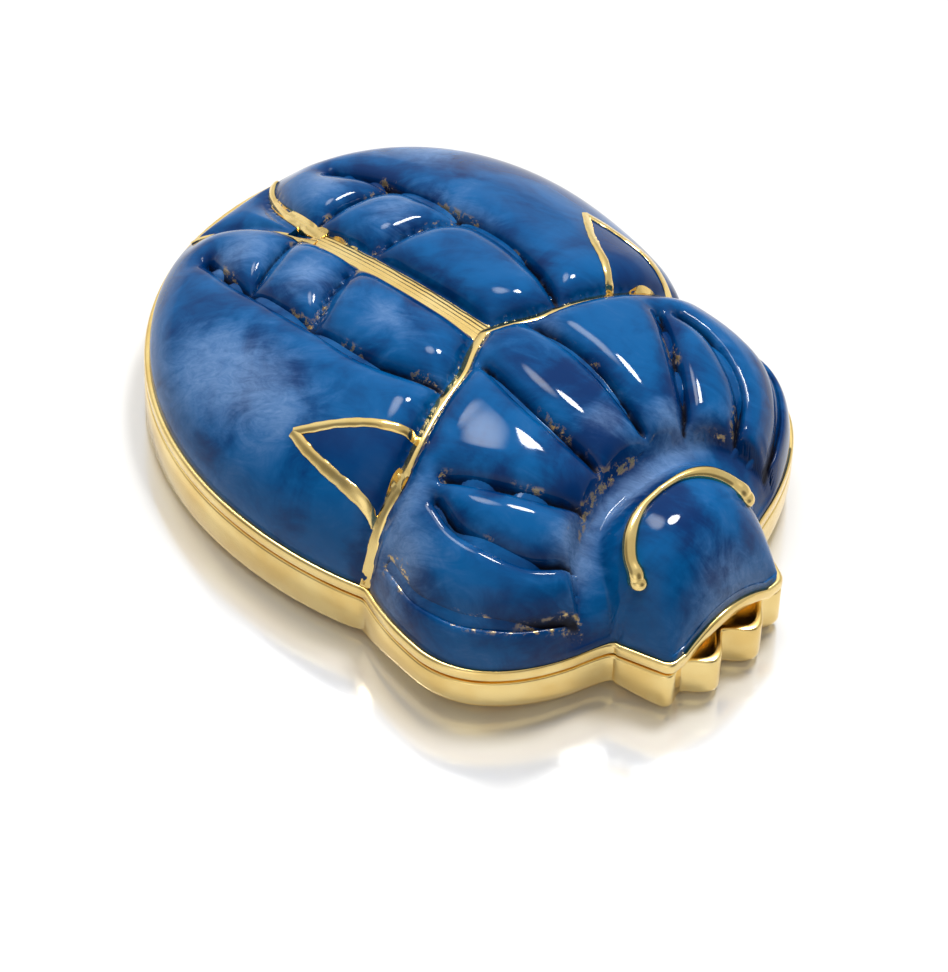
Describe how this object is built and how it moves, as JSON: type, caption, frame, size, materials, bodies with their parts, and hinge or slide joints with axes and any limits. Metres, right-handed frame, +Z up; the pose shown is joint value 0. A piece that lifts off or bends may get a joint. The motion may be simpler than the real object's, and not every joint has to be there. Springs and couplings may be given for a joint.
{
  "type": "scarab trinket box",
  "caption": "Hollow gilt box shaped as a scarab beetle, with a toothed base and a lift-off domed lid in blue enamel.",
  "frame": {"origin": "centre of the flat underside of the base, on the surface the box stands on", "axes": "+Z up through the lid, +Y towards the beetle's tail, the head at -Y, X across the two wing cases"},
  "size_m": [0.0388, 0.0542, 0.018],
  "materials": {
    "gilt_metal": "polished gold plating over cast metal",
    "blue_enamel": "glossy marbled cobalt glass enamel fired into a gilt metal casting"
  },
  "bodies": {
    "root": {"base": "gilt_metal", "lid": "blue_enamel"}
  },
  "joints": []
}
